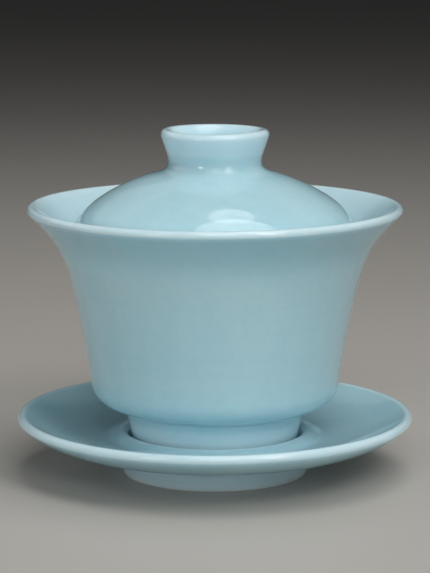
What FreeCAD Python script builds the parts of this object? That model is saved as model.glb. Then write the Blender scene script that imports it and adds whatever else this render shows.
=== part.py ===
import FreeCAD, Part
import math
import os

# A gaiwan: a lidded porcelain tea bowl that stands in the well of its own saucer.
# Units are millimetres and +Z is up. The origin is the centre of the saucer's foot
# ring, on the table. Each piece was thrown on a wheel and fired in one, so each is a
# single profile turned about the Z axis. Every profile point is (radius, height).

# Saucer
SAUCER_RADIUS = 53.05
SAUCER_LIP_ROUND = 1.3
SAUCER_LIP_HEIGHT = 15.24
SAUCER_FOOT_RADIUS = 24.85
SAUCER_FOOT_INNER = 21.4
SAUCER_RECESS_CEILING = 4.7
WELL_RADIUS = 23.4
WELL_FLOOR = 8.0
WELL_LIP_ROUND = 1.4
WELL_LIP_HEIGHT = 10.03

# Cup
CUP_RADIUS = 50.0
CUP_LIP_ROUND = 1.18
CUP_LIP_HEIGHT = 71.55
CUP_FOOT_RADIUS = 22.06
CUP_FOOT_INNER = 19.9
CUP_FOOT_BASE = WELL_FLOOR + 0.1
CUP_RECESS_CEILING = 16.9
CUP_FLOOR = 19.8

# Lid
LID_DOME_RADIUS = 58.0
LID_DOME_CENTRE = 25.25
LID_WALL = 2.5
LID_EDGE_RADIUS = 38.15
LID_EDGE_ROUND = 1.1
LID_EDGE_HEIGHT = 59.9
KNOB_RADIUS = 14.4
KNOB_LIP_ROUND = 1.4
KNOB_LIP_HEIGHT = 91.45
KNOB_NECK_RADIUS = 12.38
KNOB_FLOOR = 84.35

# The foot rings are softened where the glaze was wiped off them.
FOOT_EDGE = 0.35


def at(point):
    return FreeCAD.Vector(point[0], 0, point[1])


def straight(start, end):
    return Part.LineSegment(at(start), at(end)).toShape()


def curve(*poles):
    """A cubic curve through its first and last poles, drawn towards the middle two."""
    bezier = Part.BezierCurve()
    bezier.setPoles([at(pole) for pole in poles])
    return bezier.toShape()


def on_circle(centre, radius, degrees):
    angle = math.radians(degrees)
    return (centre[0] + radius * math.cos(angle), centre[1] + radius * math.sin(angle))


def arc(centre, radius, start_degrees, end_degrees):
    middle_degrees = (start_degrees + end_degrees) / 2
    start = on_circle(centre, radius, start_degrees)
    middle = on_circle(centre, radius, middle_degrees)
    end = on_circle(centre, radius, end_degrees)
    return Part.Arc(at(start), at(middle), at(end)).toShape()


def turned(edges):
    """The solid swept by a closed profile in one full turn about the Z axis."""
    face = Part.Face(Part.Wire(edges))
    return face.revolve(FreeCAD.Vector(0, 0, 0), FreeCAD.Vector(0, 0, 1), 360)


def saucer():
    lip = (SAUCER_RADIUS - SAUCER_LIP_ROUND, SAUCER_LIP_HEIGHT)
    under_degrees = -20
    middle_degrees = 51
    inside_degrees = 121.8
    lip_under = on_circle(lip, SAUCER_LIP_ROUND, under_degrees)
    lip_inside = on_circle(lip, SAUCER_LIP_ROUND, inside_degrees)
    well_lip = (WELL_RADIUS + WELL_LIP_ROUND, WELL_LIP_HEIGHT)
    well_crest = on_circle(well_lip, WELL_LIP_ROUND, 90)
    well_inside = on_circle(well_lip, WELL_LIP_ROUND, 180)
    foot_out = SAUCER_FOOT_RADIUS
    foot_in = SAUCER_FOOT_INNER
    foot_top = (25.3, 5.7)
    under_start = (26.4, 6.6)
    dish_low = (29.6, 10.1)
    return turned([
        # Recess inside the foot ring, then the ring itself.
        straight((0, SAUCER_RECESS_CEILING), (19.9, SAUCER_RECESS_CEILING)),
        curve((19.9, SAUCER_RECESS_CEILING), (20.6, 4.7), (21.0, 4.3), (21.0, 3.6)),
        straight((21.0, 3.6), (foot_in, FOOT_EDGE)),
        straight((foot_in, FOOT_EDGE), (foot_in + FOOT_EDGE, 0)),
        straight((foot_in + FOOT_EDGE, 0), (foot_out - FOOT_EDGE, 0)),
        straight((foot_out - FOOT_EDGE, 0), (foot_out, FOOT_EDGE)),
        straight((foot_out, FOOT_EDGE), foot_top),
        curve(foot_top, (25.38, 6.25), (25.7, 6.52), under_start),
        # Underside, rising outwards to the rounded lip.
        curve(under_start, (42.3, 6.27), (52.35, 13.11), lip_under),
        arc(lip, SAUCER_LIP_ROUND, under_degrees, middle_degrees),
        arc(lip, SAUCER_LIP_ROUND, middle_degrees, inside_degrees),
        # Dish, and the raised ring around the well.
        curve(lip_inside, (46.49, 13.41), (40.5, 10.1), dish_low),
        curve(dish_low, (27.6, 10.1), (26.5, well_crest[1]), well_crest),
        arc(well_lip, WELL_LIP_ROUND, 90, 180),
        straight(well_inside, (23.3, 9.2)),
        curve((23.3, 9.2), (23.25, 8.5), (22.8, WELL_FLOOR), (22.1, WELL_FLOOR)),
        straight((22.1, WELL_FLOOR), (0, WELL_FLOOR)),
        straight((0, WELL_FLOOR), (0, SAUCER_RECESS_CEILING)),
    ])


def cup():
    lip = (CUP_RADIUS - CUP_LIP_ROUND, CUP_LIP_HEIGHT)
    under_degrees = -45
    middle_degrees = 45
    inside_degrees = 135
    lip_under = on_circle(lip, CUP_LIP_ROUND, under_degrees)
    lip_inside = on_circle(lip, CUP_LIP_ROUND, inside_degrees)
    foot_out = CUP_FOOT_RADIUS
    foot_in = CUP_FOOT_INNER
    foot_bottom = CUP_FOOT_BASE
    foot_top = (23.85, 16.9)
    belly_start = (24.7, 17.8)
    belly_end = (33.35, 24.62)
    wall_end = (38.32, 51.61)
    inner_wall_end = (35.85, 52.6)
    inner_corner = (30.6, 27.0)
    floor_edge = (22.5, 20.55)
    return turned([
        # Recess inside the tall foot, then the foot's tapering outside.
        curve((0, CUP_RECESS_CEILING), (7, 16.9), (14, 16.8), (17.9, 16.5)),
        curve((17.9, 16.5), (18.9, 16.4), (19.3, 15.9), (19.35, 15.0)),
        straight((19.35, 15.0), (foot_in, foot_bottom + FOOT_EDGE)),
        straight((foot_in, foot_bottom + FOOT_EDGE), (foot_in + FOOT_EDGE, foot_bottom)),
        straight((foot_in + FOOT_EDGE, foot_bottom), (foot_out - FOOT_EDGE, foot_bottom)),
        straight((foot_out - FOOT_EDGE, foot_bottom), (foot_out, foot_bottom + FOOT_EDGE)),
        straight((foot_out, foot_bottom + FOOT_EDGE), foot_top),
        curve(foot_top, (23.95, 17.4), (24.15, 17.68), belly_start),
        # Belly, wall and flared mouth.
        curve(belly_start, (29.12, 18.73), (32.87, 20.2), belly_end),
        curve(belly_end, (34.2, 32.46), (36.77, 45.26), wall_end),
        curve(wall_end, (40.63, 61.05), (43.32, 64.39), lip_under),
        arc(lip, CUP_LIP_ROUND, under_degrees, middle_degrees),
        arc(lip, CUP_LIP_ROUND, middle_degrees, inside_degrees),
        # Inside, from the mouth down to the floor.
        curve(lip_inside, (41.2, 65.6), (38.1, 61.2), inner_wall_end),
        curve(inner_wall_end, (34.07, 45.8), (31.9, 36.5), inner_corner),
        curve(inner_corner, (30.05, 23.0), (27.6, 21.0), floor_edge),
        curve(floor_edge, (15.0, 19.89), (7.5, CUP_FLOOR), (0, CUP_FLOOR)),
        straight((0, CUP_FLOOR), (0, CUP_RECESS_CEILING)),
    ])


def lid():
    dome = (0, LID_DOME_CENTRE)
    inside_radius = LID_DOME_RADIUS - LID_WALL
    shoulder_degrees = 61.9
    inside_degrees = 59.5
    fillet_degrees = 73.6
    shoulder_start = on_circle(dome, LID_DOME_RADIUS, shoulder_degrees)
    inside_start = on_circle(dome, inside_radius, inside_degrees)
    fillet_start = on_circle(dome, LID_DOME_RADIUS, fillet_degrees)
    edge = (LID_EDGE_RADIUS - LID_EDGE_ROUND, LID_EDGE_HEIGHT)
    edge_inside_degrees = -184
    edge_outside_degrees = 6
    edge_inside = on_circle(edge, LID_EDGE_ROUND, edge_inside_degrees)
    edge_outside = on_circle(edge, LID_EDGE_ROUND, edge_outside_degrees)
    shoulder_end = (37.5, 66.6)
    inner_shoulder = (35.2, 66.4)
    knob_lip = (KNOB_RADIUS - KNOB_LIP_ROUND, KNOB_LIP_HEIGHT)
    knob_outside_degrees = -12
    knob_middle_degrees = 64
    knob_inside_degrees = 140
    knob_outside = on_circle(knob_lip, KNOB_LIP_ROUND, knob_outside_degrees)
    knob_inside = on_circle(knob_lip, KNOB_LIP_ROUND, knob_inside_degrees)
    neck = (KNOB_NECK_RADIUS, 84.3)
    knob_floor_edge = (5.0, 84.6)
    return turned([
        # Underside of the dome, inner shoulder and rounded edge.
        arc(dome, inside_radius, 90, inside_degrees),
        curve(inside_start, (31.0, 71.38), (35.0, 69.6), inner_shoulder),
        curve(inner_shoulder, (35.3, 64.4), (35.8, 62.1), edge_inside),
        arc(edge, LID_EDGE_ROUND, edge_inside_degrees, edge_outside_degrees),
        # Skirt, shoulder and dome.
        curve(edge_outside, (37.93, 62.1), (37.5, 64.6), shoulder_end),
        curve(shoulder_end, (37.5, 69.5), (32.9, 73.44), shoulder_start),
        arc(dome, LID_DOME_RADIUS, shoulder_degrees, fillet_degrees),
        # Knob: a ring that flares upwards from its neck, hollowed like a small bowl.
        curve(fillet_start, (13.6, 81.7), (KNOB_NECK_RADIUS, 82.4), neck),
        curve(neck, (KNOB_NECK_RADIUS, 86.0), (13.91, 89.0), knob_outside),
        arc(knob_lip, KNOB_LIP_ROUND, knob_outside_degrees, knob_middle_degrees),
        arc(knob_lip, KNOB_LIP_ROUND, knob_middle_degrees, knob_inside_degrees),
        curve(knob_inside, (9.9, 89.93), (9.4, 85.2), knob_floor_edge),
        curve(knob_floor_edge, (3.4, 84.38), (1.7, KNOB_FLOOR), (0, KNOB_FLOOR)),
        straight((0, KNOB_FLOOR), (0, LID_DOME_CENTRE + inside_radius)),
    ])


os.makedirs("parts", exist_ok=True)
saucer().exportStep("parts/saucer.step")
cup().exportStep("parts/cup.step")
lid().exportStep("parts/lid.step")
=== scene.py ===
import math

import bpy
import numpy as np
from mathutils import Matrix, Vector

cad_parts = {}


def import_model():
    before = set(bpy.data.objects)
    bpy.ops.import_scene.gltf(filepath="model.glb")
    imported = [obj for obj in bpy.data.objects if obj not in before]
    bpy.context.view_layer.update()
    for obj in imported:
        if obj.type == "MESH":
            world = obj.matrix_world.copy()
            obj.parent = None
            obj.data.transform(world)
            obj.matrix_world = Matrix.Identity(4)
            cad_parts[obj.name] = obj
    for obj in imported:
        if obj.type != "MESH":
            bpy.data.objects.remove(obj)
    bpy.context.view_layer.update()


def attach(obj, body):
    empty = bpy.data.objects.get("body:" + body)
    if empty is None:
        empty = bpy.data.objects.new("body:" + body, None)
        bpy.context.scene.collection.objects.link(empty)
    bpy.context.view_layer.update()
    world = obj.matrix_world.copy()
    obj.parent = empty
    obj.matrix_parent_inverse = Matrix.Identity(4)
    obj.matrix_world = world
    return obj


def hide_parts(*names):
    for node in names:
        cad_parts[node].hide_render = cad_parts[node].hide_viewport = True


# A gaiwan: saucer, cup and lid in pale celadon-glazed porcelain, on a pale studio floor.
# Each piece is turned about the Z axis from one outline. Outlines are in millimetres,
# as (radius, height) points, and run anticlockwise with the clay on their left.

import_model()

MM = 0.001

# Mesh: faces in a full turn, and the steps along an outline. Wide arcs are stepped by length.
SEGMENTS = 256
CURVE_STEP = 0.45
ARC_STEP_DEGREES = 7.5
WIDE_ARC_RADIUS = 10

# Saucer
SAUCER_RADIUS = 53.05
SAUCER_LIP_ROUND = 1.3
SAUCER_LIP_HEIGHT = 15.24
SAUCER_FOOT_RADIUS = 24.85
SAUCER_FOOT_INNER = 21.4
SAUCER_RECESS_CEILING = 4.7
WELL_RADIUS = 23.4
WELL_FLOOR = 8.0
WELL_LIP_ROUND = 1.4
WELL_LIP_HEIGHT = 10.03

# Cup
CUP_RADIUS = 50.0
CUP_LIP_ROUND = 1.18
CUP_LIP_HEIGHT = 71.55
CUP_FOOT_RADIUS = 22.06
CUP_FOOT_INNER = 19.9
CUP_FOOT_BASE = 8.1
CUP_RECESS_CEILING = 16.9
CUP_FLOOR = 19.8

# Lid
LID_DOME_RADIUS = 58.0
LID_DOME_CENTRE = 25.25
LID_WALL = 2.5
LID_EDGE_RADIUS = 38.15
LID_EDGE_ROUND = 1.1
LID_EDGE_HEIGHT = 59.9
KNOB_RADIUS = 14.4
KNOB_LIP_ROUND = 1.4
KNOB_LIP_HEIGHT = 91.45
KNOB_NECK_RADIUS = 12.38
KNOB_FLOOR = 84.35

# Foot rings, whose standing face is wiped bare of glaze
FOOT_EDGE = 0.35
BARE_HEIGHT = 0.12
BARE_EDGE = 0.15

# Rims: how far below its top each rim starts to stray from true, and how far it strays
SAUCER_RIM_REACH = 6.0
CUP_RIM_REACH = 8.0
LID_RIM_REACH = 4.0
OVAL_STRAY = 0.10
OVAL_TURN = 0.7
THREE_SIDED_STRAY = 0.05
THREE_SIDED_TURN = 2.1

# Glaze thickness. The gathering is 0.5 on open surface, less over lips and more in hollows.
GLAZE_THICKNESS = 0.08
GLAZE_REACH = 1.1
LIP_THINNING = 0.42
HOLLOW_GATHERING = 0.22

# The ring that the cup's foot rubs on the well's floor
SCUFF_RADIUS = 20.9
SCUFF_WIDTH = 1.6
SCUFF_HEIGHT = 0.2

# Painted light and shade: zones where the gathering is changed, so that the glaze is painted paler
# where light falls and darker where shade falls.
# The paler zones are the foot rings, the lips, the cup's inner flare and the knob, inside and out.
# The darker zones are under the saucer and on the cup's outside below the lip.
# The paler lips are partly the glaze's real thinning over edges and partly painted highlight.
# Columns: the height where a zone starts, the height where it is full, the change in the gathering,
# and the side. Along an outline, "outside" comes before the highest point, and "inside" after it.
PAINTED_LIGHT_AND_SHADE_ZONES = {
    "saucer": (
        (6.4, 4.8, -0.24, "outside"),
        (6.6, 8.5, 0.35, "outside"),
        (13.5, 15.2, -0.35, "outside"),
    ),
    "cup": (
        (17.6, 14.5, -0.24, "outside"),
        (54.0, 66.0, 0.32, "outside"),
        (70.4, 71.6, -0.32, "outside"),
        (56.0, 68.0, -0.3, "inside"),
    ),
    "lid": (
        (83.8, 87.5, -0.3, "outside"),
        (84.0, 90.0, -0.2, "inside"),
    ),
}

# Colours
GLAZE_DEEP = (0.42, 0.665, 0.745, 1)
GLAZE_PALE = (0.475, 0.705, 0.775, 1)
# The thin and pooled colours also paint light and shade: paler where light falls on the knob, feet,
# lips and the cup's inner flare, and darker where shade falls under the saucer and below the cup's
# lip.
GLAZE_THIN_AND_PAINTED_LIGHT = (0.70, 0.85, 0.92, 1)
GLAZE_POOLED_AND_PAINTED_SHADE = (0.27, 0.48, 0.52, 1)
GLAZE_BUBBLE = (0.66, 0.83, 0.88, 1)
IRON_SPECK = (0.22, 0.19, 0.15, 1)
CLAY_DEEP = (0.62, 0.58, 0.53, 1)
CLAY_PALE = (0.78, 0.75, 0.71, 1)
PAPER_DEEP = (0.47, 0.445, 0.41, 1)
PAPER_PALE = (0.51, 0.485, 0.45, 1)
STUDIO_AIR = (0.5, 0.52, 0.55, 1)

# The glaze's tone, layer by layer: noise scale, stretch along Z, and share of the tone
TONE_LAYERS = {
    "clouds": (28, 1, 0.4),
    "vertical runs": (150, 0.08, 0.25),
    "mottle": (420, 1, 0.2),
}
RINGS_IN_TONE = 0.12

# How strongly each colour shows where it is full
THIN_AND_PAINTED_LIGHT_SHARE = 0.55
POOLED_AND_PAINTED_SHADE_SHARE = 0.45
BUBBLE_SHARE = 0.22
SPECK_SHARE = 0.7
SCUFF_SHARE = 0.3

# Surface: roughness, then relief as shares of the bump's height
GLOSS_LOW = 0.02
GLOSS_HIGH = 0.06
SCUFF_ROUGHNESS = 0.22
CLAY_ROUGHNESS = 0.82
PAPER_ROUGHNESS = 0.6
RIPPLE_RELIEF = 0.08
RINGS_RELIEF = 0.03
PINHOLE_RELIEF = 0.25
RELIEF_STRENGTH = 0.35
RELIEF_HEIGHT = 0.25 * MM
GLAZE_IOR = 1.5

# Light that enters the porcelain and comes out near by, green and blue farther than red
SUBSURFACE_WEIGHT = 0.6
SUBSURFACE_REACH = (1.0, 1.2, 1.3)
SUBSURFACE_DEPTH = 3 * MM

# Studio, in metres and degrees
LIGHT_TARGET = (0, 0, 0.05)
LIGHT_DISTANCE = 1.1
FLOOR_REACH = 6.0
AIR_STRENGTH = 0.05
CAMERA_PLACE = (0, -0.6693, 0.16465)
CAMERA_DIP_DEGREES = 9.69
CAMERA_LENS = 159.3
CAMERA_SENSOR = 36


# Outlines

def on_circle(centre, radius, degrees):
    angle = math.radians(degrees)
    return (centre[0] + radius * math.cos(angle), centre[1] + radius * math.sin(angle))


def straight(start, end):
    steps = max(2, round(math.dist(start, end) / CURVE_STEP))
    t = np.linspace(0, 1, steps + 1)[:, None]
    return (1 - t) * np.array(start) + t * np.array(end)


def curve(*poles):
    """A cubic curve through its first and last poles, drawn towards the middle two."""
    a, b, c, d = (np.array(pole, float) for pole in poles)
    steps = max(8, round(math.dist(poles[0], poles[3]) / CURVE_STEP))
    t = np.linspace(0, 1, steps + 1)[:, None]
    return (1 - t) ** 3 * a + 3 * t * (1 - t) ** 2 * b + 3 * t**2 * (1 - t) * c + t**3 * d


def arc(centre, radius, start_degrees, end_degrees):
    sweep = abs(end_degrees - start_degrees)
    if radius > WIDE_ARC_RADIUS:
        steps = round(math.radians(sweep) * radius / CURVE_STEP)
    else:
        steps = max(4, round(sweep / ARC_STEP_DEGREES))
    angles = np.radians(np.linspace(start_degrees, end_degrees, steps + 1))
    return np.column_stack([centre[0] + radius * np.cos(angles), centre[1] + radius * np.sin(angles)])


def joined(runs):
    points = [runs[0][0]]
    for run in runs:
        points.extend(run[1:])
    return np.array(points)


def foot_ring(inner, outer, base, inner_side, outer_side):
    """The bottom of a foot ring, from the top of its inner side to the top of its outer side."""
    inner_centre = (inner + FOOT_EDGE, base + FOOT_EDGE)
    outer_centre = (outer - FOOT_EDGE, base + FOOT_EDGE)
    return [
        straight(inner_side, (inner, base + FOOT_EDGE)),
        arc(inner_centre, FOOT_EDGE, 180, 270),
        straight((inner + FOOT_EDGE, base), (outer - FOOT_EDGE, base)),
        arc(outer_centre, FOOT_EDGE, -90, 0),
        straight((outer, base + FOOT_EDGE), outer_side),
    ]


def saucer_outline():
    lip = (SAUCER_RADIUS - SAUCER_LIP_ROUND, SAUCER_LIP_HEIGHT)
    under_degrees = -20
    inside_degrees = 121.8
    lip_under = on_circle(lip, SAUCER_LIP_ROUND, under_degrees)
    lip_inside = on_circle(lip, SAUCER_LIP_ROUND, inside_degrees)
    well_lip = (WELL_RADIUS + WELL_LIP_ROUND, WELL_LIP_HEIGHT)
    well_crest = on_circle(well_lip, WELL_LIP_ROUND, 90)
    well_inside = on_circle(well_lip, WELL_LIP_ROUND, 180)
    foot_top = (25.3, 5.7)
    under_start = (26.4, 6.6)
    dish_low = (29.6, 10.1)
    foot = foot_ring(SAUCER_FOOT_INNER, SAUCER_FOOT_RADIUS, 0, (21.0, 3.6), foot_top)
    return joined([
        straight((0, SAUCER_RECESS_CEILING), (19.9, SAUCER_RECESS_CEILING)),
        curve((19.9, SAUCER_RECESS_CEILING), (20.6, 4.7), (21.0, 4.3), (21.0, 3.6)),
        *foot,
        curve(foot_top, (25.38, 6.25), (25.7, 6.52), under_start),
        curve(under_start, (42.3, 6.27), (52.35, 13.11), lip_under),
        arc(lip, SAUCER_LIP_ROUND, under_degrees, inside_degrees),
        curve(lip_inside, (46.49, 13.41), (40.5, 10.1), dish_low),
        curve(dish_low, (27.6, 10.1), (26.5, well_crest[1]), well_crest),
        arc(well_lip, WELL_LIP_ROUND, 90, 180),
        straight(well_inside, (23.3, 9.2)),
        curve((23.3, 9.2), (23.25, 8.5), (22.8, WELL_FLOOR), (22.1, WELL_FLOOR)),
        straight((22.1, WELL_FLOOR), (0, WELL_FLOOR)),
    ])


def cup_outline():
    lip = (CUP_RADIUS - CUP_LIP_ROUND, CUP_LIP_HEIGHT)
    under_degrees = -45
    inside_degrees = 135
    lip_under = on_circle(lip, CUP_LIP_ROUND, under_degrees)
    lip_inside = on_circle(lip, CUP_LIP_ROUND, inside_degrees)
    foot_top = (23.85, 16.9)
    belly_start = (24.7, 17.8)
    belly_end = (33.35, 24.62)
    wall_end = (38.32, 51.61)
    inner_wall_end = (35.85, 52.6)
    inner_corner = (30.6, 27.0)
    floor_edge = (22.5, 20.55)
    foot = foot_ring(CUP_FOOT_INNER, CUP_FOOT_RADIUS, CUP_FOOT_BASE, (19.35, 15.0), foot_top)
    return joined([
        curve((0, CUP_RECESS_CEILING), (7, 16.9), (14, 16.8), (17.9, 16.5)),
        curve((17.9, 16.5), (18.9, 16.4), (19.3, 15.9), (19.35, 15.0)),
        *foot,
        curve(foot_top, (23.95, 17.4), (24.15, 17.68), belly_start),
        curve(belly_start, (29.12, 18.73), (32.87, 20.2), belly_end),
        curve(belly_end, (34.2, 32.46), (36.77, 45.26), wall_end),
        curve(wall_end, (40.63, 61.05), (43.32, 64.39), lip_under),
        arc(lip, CUP_LIP_ROUND, under_degrees, inside_degrees),
        curve(lip_inside, (41.2, 65.6), (38.1, 61.2), inner_wall_end),
        curve(inner_wall_end, (34.07, 45.8), (31.9, 36.5), inner_corner),
        curve(inner_corner, (30.05, 23.0), (27.6, 21.0), floor_edge),
        curve(floor_edge, (15.0, 19.89), (7.5, CUP_FLOOR), (0, CUP_FLOOR)),
    ])


def lid_outline():
    dome = (0, LID_DOME_CENTRE)
    inside_radius = LID_DOME_RADIUS - LID_WALL
    shoulder_degrees = 61.9
    inside_degrees = 59.5
    fillet_degrees = 73.6
    shoulder_start = on_circle(dome, LID_DOME_RADIUS, shoulder_degrees)
    inside_start = on_circle(dome, inside_radius, inside_degrees)
    fillet_start = on_circle(dome, LID_DOME_RADIUS, fillet_degrees)
    edge = (LID_EDGE_RADIUS - LID_EDGE_ROUND, LID_EDGE_HEIGHT)
    edge_inside_degrees = -184
    edge_outside_degrees = 6
    edge_inside = on_circle(edge, LID_EDGE_ROUND, edge_inside_degrees)
    edge_outside = on_circle(edge, LID_EDGE_ROUND, edge_outside_degrees)
    shoulder_end = (37.5, 66.6)
    inner_shoulder = (35.2, 66.4)
    knob_lip = (KNOB_RADIUS - KNOB_LIP_ROUND, KNOB_LIP_HEIGHT)
    knob_outside_degrees = -12
    knob_inside_degrees = 140
    knob_outside = on_circle(knob_lip, KNOB_LIP_ROUND, knob_outside_degrees)
    knob_inside = on_circle(knob_lip, KNOB_LIP_ROUND, knob_inside_degrees)
    neck = (KNOB_NECK_RADIUS, 84.3)
    knob_floor_edge = (5.0, 84.6)
    return joined([
        arc(dome, inside_radius, 90, inside_degrees),
        curve(inside_start, (31.0, 71.38), (35.0, 69.6), inner_shoulder),
        curve(inner_shoulder, (35.3, 64.4), (35.8, 62.1), edge_inside),
        arc(edge, LID_EDGE_ROUND, edge_inside_degrees, edge_outside_degrees),
        curve(edge_outside, (37.93, 62.1), (37.5, 64.6), shoulder_end),
        curve(shoulder_end, (37.5, 69.5), (32.9, 73.44), shoulder_start),
        arc(dome, LID_DOME_RADIUS, shoulder_degrees, fillet_degrees),
        curve(fillet_start, (13.6, 81.7), (KNOB_NECK_RADIUS, 82.4), neck),
        curve(neck, (KNOB_NECK_RADIUS, 86.0), (13.91, 89.0), knob_outside),
        arc(knob_lip, KNOB_LIP_ROUND, knob_outside_degrees, knob_inside_degrees),
        curve(knob_inside, (9.9, 89.93), (9.4, 85.2), knob_floor_edge),
        curve(knob_floor_edge, (3.4, 84.38), (1.7, KNOB_FLOOR), (0, KNOB_FLOOR)),
    ])


# Glaze: where it lies thin, where it gathers, where light and shade are painted into it, and where it
# was wiped off

def smooth_step(low, high, value):
    t = np.clip((value - low) / (high - low), 0, 1)
    return t * t * (3 - 2 * t)


def along(outline):
    """Distance from the outline's start to each of its points."""
    steps = np.linalg.norm(np.diff(outline, axis=0), axis=1)
    return np.concatenate([[0], np.cumsum(steps)])


def glaze_gather(outline):
    """0 where glaze runs thinner over an edge, 0.5 on open surface, 1 where it gathers in a hollow.
    """
    distance = along(outline)
    runs = np.diff(outline, axis=0)
    heading = np.unwrap(np.arctan2(runs[:, 1], runs[:, 0]))
    turn = np.zeros(len(outline))
    turn[1:-1] = np.diff(heading)
    spread = np.exp(-(((distance[:, None] - distance[None, :]) / GLAZE_REACH) ** 2))
    bend = spread @ turn
    strength = np.where(bend > 0, LIP_THINNING, HOLLOW_GATHERING)
    return np.clip(0.5 - strength * bend, 0, 1)


def painted_light_and_shade(outline, zones):
    """The change in the gathering from zone rows: painted light and shade, with the glaze drawn paler
    where light falls and darker where shade falls.
    """
    inside = np.arange(len(outline)) > np.argmax(outline[:, 1])
    change = np.zeros(len(outline))
    for start, full, amount, side in zones:
        chosen = inside if side == "inside" else ~inside
        change += amount * smooth_step(start, full, outline[:, 1]) * chosen
    return change


def bare_clay(outline, base):
    """1 under the foot ring, where the glaze was wiped off, falling to 0 where the glaze starts."""
    return 1 - smooth_step(base + BARE_HEIGHT, base + BARE_HEIGHT + BARE_EDGE, outline[:, 1])


# Turned pieces

def hand_warp(height, angle, rim_height, rim_reach):
    """How far the rim dips below true, in millimetres, as it does from drying and firing."""
    near_rim = smooth_step(rim_height - rim_reach, rim_height, height)
    oval = OVAL_STRAY * (np.cos(2 * angle + OVAL_TURN) - 1)
    three_sided = THREE_SIDED_STRAY * (np.cos(3 * angle + THREE_SIDED_TURN) - 1)
    return (oval + three_sided) * near_rim


def turned(name, outline, attributes, rim_height, rim_reach):
    """A mesh object: the outline turned about Z, with one value per outline point as attributes."""
    on_axis = outline[:, 0] < 1e-6
    rings = outline[~on_axis]
    angles = np.arange(SEGMENTS) * 2 * math.pi / SEGMENTS
    radius = rings[:, 0][:, None] * np.ones(SEGMENTS)[None, :]
    height = rings[:, 1][:, None] * np.ones(SEGMENTS)[None, :]
    angle = np.ones(len(rings))[:, None] * angles[None, :]
    height = height + hand_warp(height, angle, rim_height, rim_reach)
    x = radius * np.cos(angle)
    y = radius * np.sin(angle)
    ring_points = np.stack([x, y, height], axis=2).reshape(-1, 3)
    poles = np.array([(0, 0, outline[0][1]), (0, 0, outline[-1][1])])
    vertices = np.concatenate([ring_points, poles]) * MM

    faces = []
    for ring in range(len(rings) - 1):
        for segment in range(SEGMENTS):
            after = (segment + 1) % SEGMENTS
            low = ring * SEGMENTS
            high = low + SEGMENTS
            faces.append((low + segment, low + after, high + after, high + segment))
    start_pole = len(ring_points)
    end_pole = start_pole + 1
    last = (len(rings) - 1) * SEGMENTS
    for segment in range(SEGMENTS):
        after = (segment + 1) % SEGMENTS
        faces.append((start_pole, after, segment))
        faces.append((end_pole, last + segment, last + after))

    mesh = bpy.data.meshes.new(name)
    mesh.from_pydata(vertices.tolist(), [], faces)
    mesh.shade_smooth()
    for key, values in attributes.items():
        layer = mesh.attributes.new(key, "FLOAT", "POINT")
        per_ring = np.repeat(values[~on_axis], SEGMENTS)
        layer.data.foreach_set("value", np.concatenate([per_ring, [values[0], values[-1]]]))
    mesh.update()
    piece = bpy.data.objects.new(name, mesh)
    bpy.context.scene.collection.objects.link(piece)
    return piece


def foot_scuff(outline):
    """1 on the well's floor where the cup's foot rubs, and 0 elsewhere."""
    off_centre = np.abs(outline[:, 0] - SCUFF_RADIUS)
    ring = 1 - smooth_step(SCUFF_WIDTH / 2, SCUFF_WIDTH, off_centre)
    near_floor = np.abs(outline[:, 1] - WELL_FLOOR) < SCUFF_HEIGHT
    return ring * near_floor


def inset_bare_side(outline, bare, ring_middle, base):
    """Moves the wiped band back by the glaze's thickness, so that the glaze ends in a small step."""
    side = np.where(outline[:, 0] > ring_middle, -1.0, 1.0)
    moved = outline.copy()
    on_side = smooth_step(base, base + BARE_HEIGHT, outline[:, 1])
    moved[:, 0] += side * bare * on_side * GLAZE_THICKNESS
    return moved


# Materials

def node(tree, kind, **settings):
    made = tree.nodes.new(kind)
    for key, value in settings.items():
        setattr(made, key, value)
    return made


def link(tree, source, target):
    tree.links.new(source, target)


def mixed(tree, factor, first, second):
    """A colour between two, each a colour or another node's output."""
    mix = node(tree, "ShaderNodeMix", data_type="RGBA")
    for socket, value in ((mix.inputs[0], factor), (mix.inputs[6], first), (mix.inputs[7], second)):
        if isinstance(value, (int, float, tuple)):
            socket.default_value = value
        else:
            link(tree, value, socket)
    return mix.outputs[2]


def ranged(tree, value, low, high, to_low, to_high):
    """The value eased from the range low..high to the range to_low..to_high."""
    scale = node(tree, "ShaderNodeMapRange", interpolation_type="SMOOTHSTEP")
    link(tree, value, scale.inputs["Value"])
    scale.inputs["From Min"].default_value = low
    scale.inputs["From Max"].default_value = high
    scale.inputs["To Min"].default_value = to_low
    scale.inputs["To Max"].default_value = to_high
    return scale.outputs["Result"]


def noise(tree, place, scale, detail=3.0, roughness=0.55, stretch=(1, 1, 1)):
    mapping = node(tree, "ShaderNodeMapping")
    mapping.inputs["Scale"].default_value = stretch
    link(tree, place, mapping.inputs["Vector"])
    made = node(tree, "ShaderNodeTexNoise")
    made.inputs["Scale"].default_value = scale
    made.inputs["Detail"].default_value = detail
    made.inputs["Roughness"].default_value = roughness
    link(tree, mapping.outputs["Vector"], made.inputs["Vector"])
    return made.outputs["Fac"]


def math_node(tree, operation, first, second):
    made = node(tree, "ShaderNodeMath", operation=operation)
    for socket, value in ((made.inputs[0], first), (made.inputs[1], second)):
        if isinstance(value, (int, float)):
            socket.default_value = value
        else:
            link(tree, value, socket)
    return made.outputs[0]


def times(tree, value, factor):
    return math_node(tree, "MULTIPLY", value, factor)


def plus(tree, first, second):
    return math_node(tree, "ADD", first, second)


def attribute(tree, name):
    return node(tree, "ShaderNodeAttribute", attribute_name=name).outputs["Fac"]


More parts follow.
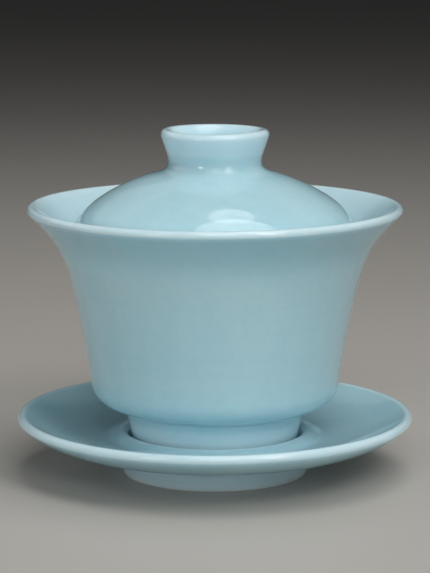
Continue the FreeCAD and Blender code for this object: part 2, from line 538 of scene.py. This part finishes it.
def turning_lines(tree, place):
    """Fine rings left by the throwing, from noise that changes with radius and height only."""
    split = node(tree, "ShaderNodeSeparateXYZ")
    link(tree, place, split.inputs[0])
    square_x = math_node(tree, "POWER", split.outputs["X"], 2)
    square_y = math_node(tree, "POWER", split.outputs["Y"], 2)
    radius = math_node(tree, "SQRT", plus(tree, square_x, square_y), 0)
    rings = node(tree, "ShaderNodeCombineXYZ")
    link(tree, times(tree, radius, 1 / MM), rings.inputs["X"])
    link(tree, times(tree, split.outputs["Z"], 1 / MM), rings.inputs["Z"])
    sway = noise(tree, place, scale=18, detail=1)
    link(tree, times(tree, sway, 1.2), rings.inputs["Y"])
    broad = noise(tree, rings.outputs[0], scale=0.42, detail=1)
    fine = noise(tree, rings.outputs[0], scale=2.1, detail=2)
    return plus(tree, broad, times(tree, fine, 0.25))


def spots(tree, place, scale, size, softness, kept):
    """Small round spots, of which only the given share is kept: 1 in a spot, 0 outside."""
    cells = node(tree, "ShaderNodeTexVoronoi")
    cells.inputs["Scale"].default_value = scale
    link(tree, place, cells.inputs["Vector"])
    disc = ranged(tree, cells.outputs["Distance"], size, size + softness, 1, 0)
    split = node(tree, "ShaderNodeSeparateColor")
    link(tree, cells.outputs["Color"], split.inputs[0])
    chosen = math_node(tree, "LESS_THAN", split.outputs["Red"], kept)
    return times(tree, disc, chosen)


def glaze_colour(tree, place, rings):
    """Whiter where the glaze runs thinner over edges, bluer where it gathers, with bubbles, specks
    and the rubbed ring; painted light and shade also draw it paler where light falls and darker where
    shade falls.
    """
    tone = times(tree, rings, RINGS_IN_TONE)
    for scale, stretch, share in TONE_LAYERS.values():
        layer = noise(tree, place, scale, detail=2, stretch=(1, 1, stretch))
        tone = plus(tree, tone, times(tree, layer, share))
    # The gathering attribute carries painted light and shade as well as the glaze's real thickness.
    # The two masks below draw the glaze paler where light falls and darker where shade falls, besides
    # the real thinning over edges and pooling in hollows.
    gather_with_painted_light_and_shade = attribute(tree, "gather_with_painted_light_and_shade")
    thin_and_painted_light = ranged(tree, gather_with_painted_light_and_shade, 0.12, 0.42, 1, 0)
    pooled_and_painted_shade = ranged(tree, gather_with_painted_light_and_shade, 0.56, 0.95, 0, 1)
    bubbles = spots(tree, place, scale=1500, size=0.16, softness=0.12, kept=0.35)
    specks = spots(tree, place, scale=130, size=0.035, softness=0.02, kept=0.012)
    colour = mixed(tree, ranged(tree, tone, 0.35, 0.65, 0, 1), GLAZE_DEEP, GLAZE_PALE)
    for factor, share, over in (
        (thin_and_painted_light, THIN_AND_PAINTED_LIGHT_SHARE, GLAZE_THIN_AND_PAINTED_LIGHT),
        (pooled_and_painted_shade, POOLED_AND_PAINTED_SHADE_SHARE, GLAZE_POOLED_AND_PAINTED_SHADE),
        (bubbles, BUBBLE_SHARE, GLAZE_BUBBLE),
        (specks, SPECK_SHARE, IRON_SPECK),
        (attribute(tree, "scuff"), SCUFF_SHARE, GLAZE_THIN_AND_PAINTED_LIGHT),
    ):
        colour = mixed(tree, times(tree, factor, share), colour, over)
    return colour


def glaze_roughness(tree, place, bare):
    """A wet gloss with a finer haze, duller where feet rub, and matt bare clay."""
    haze = noise(tree, place, scale=320, detail=4)
    gloss = ranged(tree, haze, 0.3, 0.75, GLOSS_LOW, GLOSS_HIGH)
    gloss = plus(tree, gloss, times(tree, attribute(tree, "scuff"), SCUFF_ROUGHNESS))
    roughness = node(tree, "ShaderNodeMix", data_type="FLOAT")
    link(tree, bare, roughness.inputs[0])
    link(tree, gloss, roughness.inputs[2])
    roughness.inputs[3].default_value = CLAY_ROUGHNESS
    return roughness.outputs[0]


def glaze_relief(tree, place, rings, bare):
    """The glaze's slow ripple, the turning lines, pinholes, and the bare clay's grain."""
    ripple = noise(tree, place, scale=95, detail=2, stretch=(1, 1, 1.6))
    grain = noise(tree, place, scale=2600, detail=4)
    pinholes = spots(tree, place, scale=210, size=0.04, softness=0.03, kept=0.008)
    height = plus(tree, times(tree, ripple, RIPPLE_RELIEF), times(tree, rings, RINGS_RELIEF))
    height = math_node(tree, "SUBTRACT", height, times(tree, pinholes, PINHOLE_RELIEF))
    height = plus(tree, height, times(tree, grain, bare))
    bump = node(tree, "ShaderNodeBump")
    bump.inputs["Strength"].default_value = RELIEF_STRENGTH
    bump.inputs["Distance"].default_value = RELIEF_HEIGHT
    link(tree, height, bump.inputs["Height"])
    return bump.outputs["Normal"]


def celadon_glaze():
    """Pale blue celadon over white porcelain, and bare clay where the feet were wiped."""
    material = bpy.data.materials.new("celadon_glaze")
    material.use_nodes = True
    tree = material.node_tree
    shader = tree.nodes["Principled BSDF"]
    place = node(tree, "ShaderNodeTexCoord").outputs["Object"]
    bare = attribute(tree, "bare")
    rings = turning_lines(tree, place)
    glaze = glaze_colour(tree, place, rings)
    clay = mixed(tree, noise(tree, place, scale=900, detail=4), CLAY_DEEP, CLAY_PALE)
    link(tree, mixed(tree, bare, glaze, clay), shader.inputs["Base Color"])
    link(tree, glaze_roughness(tree, place, bare), shader.inputs["Roughness"])
    link(tree, glaze_relief(tree, place, rings, bare), shader.inputs["Normal"])
    shader.inputs["IOR"].default_value = GLAZE_IOR
    shader.inputs["Subsurface Weight"].default_value = SUBSURFACE_WEIGHT
    shader.inputs["Subsurface Radius"].default_value = SUBSURFACE_REACH
    shader.inputs["Subsurface Scale"].default_value = SUBSURFACE_DEPTH
    return material


def studio_floor():
    material = bpy.data.materials.new("studio_floor")
    material.use_nodes = True
    tree = material.node_tree
    shader = tree.nodes["Principled BSDF"]
    place = node(tree, "ShaderNodeTexCoord").outputs["Object"]
    paper = mixed(tree, noise(tree, place, scale=6), PAPER_DEEP, PAPER_PALE)
    link(tree, paper, shader.inputs["Base Color"])
    shader.inputs["Roughness"].default_value = PAPER_ROUGHNESS
    return material


# Studio

def floor():
    mesh = bpy.data.meshes.new("studio_floor")
    sides = ((-1, -1), (1, -1), (1, 1), (-1, 1))
    corners = [(x * FLOOR_REACH, y * FLOOR_REACH, 0) for x, y in sides]
    mesh.from_pydata(corners, [], [(0, 1, 2, 3)])
    mesh.materials.append(studio_floor())
    made = bpy.data.objects.new("studio_floor", mesh)
    bpy.context.scene.collection.objects.link(made)


def softbox(name, place, width, height, power, spread_degrees=60, shape="RECTANGLE"):
    """A soft studio light that faces the object: where it is and its size in metres, and its power
    in watts. A narrow spread keeps it off the far floor."""
    light = bpy.data.lights.new(name, "AREA")
    light.shape = shape
    light.size = width
    light.size_y = height
    light.energy = power
    light.spread = math.radians(spread_degrees)
    lamp = bpy.data.objects.new(name, light)
    bpy.context.scene.collection.objects.link(lamp)
    lamp.visible_camera = False
    lamp.location = place
    away = Vector(place) - Vector(LIGHT_TARGET)
    lamp.rotation_euler = away.to_track_quat("Z", "Y").to_euler()


def around(azimuth_degrees, height_degrees):
    """A place on a sphere about the object: azimuth 0 is in front, and 90 is to the right."""
    azimuth = math.radians(azimuth_degrees)
    height = math.radians(height_degrees)
    across = LIGHT_DISTANCE * math.cos(height)
    return (
        across * math.sin(azimuth),
        -across * math.cos(azimuth),
        LIGHT_TARGET[2] + LIGHT_DISTANCE * math.sin(height),
    )


def lights():
    softbox("overhead", (0.2, -0.25, 1.0), 0.8, 0.8, 2.7, 140, "DISK")
    softbox("top_back", (0.11, 0.16, 1.0), 0.32, 0.32, 0.36, 140, "DISK")
    softbox("front", around(2, 30), 0.4, 0.36, 0.25)
    softbox("front_right", around(36, 40), 0.36, 0.36, 0.33)
    softbox("low_left", around(-35, 10), 0.24, 0.16, 0.19)
    softbox("low_right", around(35, 10), 0.24, 0.16, 0.13)
    softbox("side_left", around(-100, 20), 0.9, 0.6, 0.48, 90)
    softbox("side_right", around(100, 24), 0.9, 0.6, 0.2, 90)
    softbox("back_left", around(-140, 36), 0.9, 0.5, 0.11, 90)
    softbox("back_right", around(140, 36), 0.9, 0.5, 0.06, 90)


def camera():
    lens = bpy.data.cameras.new("camera")
    lens.sensor_width = CAMERA_SENSOR
    lens.lens = CAMERA_LENS
    made = bpy.data.objects.new("camera", lens)
    bpy.context.scene.collection.objects.link(made)
    made.location = CAMERA_PLACE
    made.rotation_euler = (math.radians(90 - CAMERA_DIP_DEGREES), 0, 0)
    bpy.context.scene.camera = made
    bpy.context.scene.view_settings.view_transform = "Standard"


def world():
    made = bpy.data.worlds.new("studio")
    made.use_nodes = True
    background = made.node_tree.nodes["Background"]
    background.inputs["Color"].default_value = STUDIO_AIR
    background.inputs["Strength"].default_value = AIR_STRENGTH
    bpy.context.scene.world = made


def build():
    glaze = celadon_glaze()
    saucer_rim = SAUCER_LIP_HEIGHT + SAUCER_LIP_ROUND
    cup_rim = CUP_LIP_HEIGHT + CUP_LIP_ROUND
    knob_rim = KNOB_LIP_HEIGHT + KNOB_LIP_ROUND
    saucer_foot = ((SAUCER_FOOT_INNER + SAUCER_FOOT_RADIUS) / 2, 0)
    cup_foot = ((CUP_FOOT_INNER + CUP_FOOT_RADIUS) / 2, CUP_FOOT_BASE)
    pieces = (
        ("saucer", saucer_outline(), saucer_foot, saucer_rim, SAUCER_RIM_REACH),
        ("cup", cup_outline(), cup_foot, cup_rim, CUP_RIM_REACH),
        ("lid", lid_outline(), None, knob_rim, LID_RIM_REACH),
    )
    for name, outline, foot, rim_height, rim_reach in pieces:
        # The gathering holds the glaze's real thickness plus painted light and shade from the zone
        # table: paler glaze where light falls on the knob, feet, lips and inner flare, and darker
        # glaze where shade falls under the saucer and below the cup's lip.
        gather_with_painted_light_and_shade = np.clip(glaze_gather(outline) + painted_light_and_shade(outline, PAINTED_LIGHT_AND_SHADE_ZONES[name]), 0, 1)
        bare = np.zeros(len(outline))
        if foot is not None:
            ring_middle, base = foot
            bare = bare_clay(outline, base)
            outline = inset_bare_side(outline, bare, ring_middle, base)
        scuff = foot_scuff(outline) if name == "saucer" else np.zeros(len(outline))
        attributes = {"gather_with_painted_light_and_shade": gather_with_painted_light_and_shade, "bare": bare, "scuff": scuff}
        piece = turned("glazed_" + name, outline, attributes, rim_height, rim_reach)
        piece.data.materials.append(glaze)
        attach(piece, name)
        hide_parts(name)


build()
floor()
lights()
world()
camera()
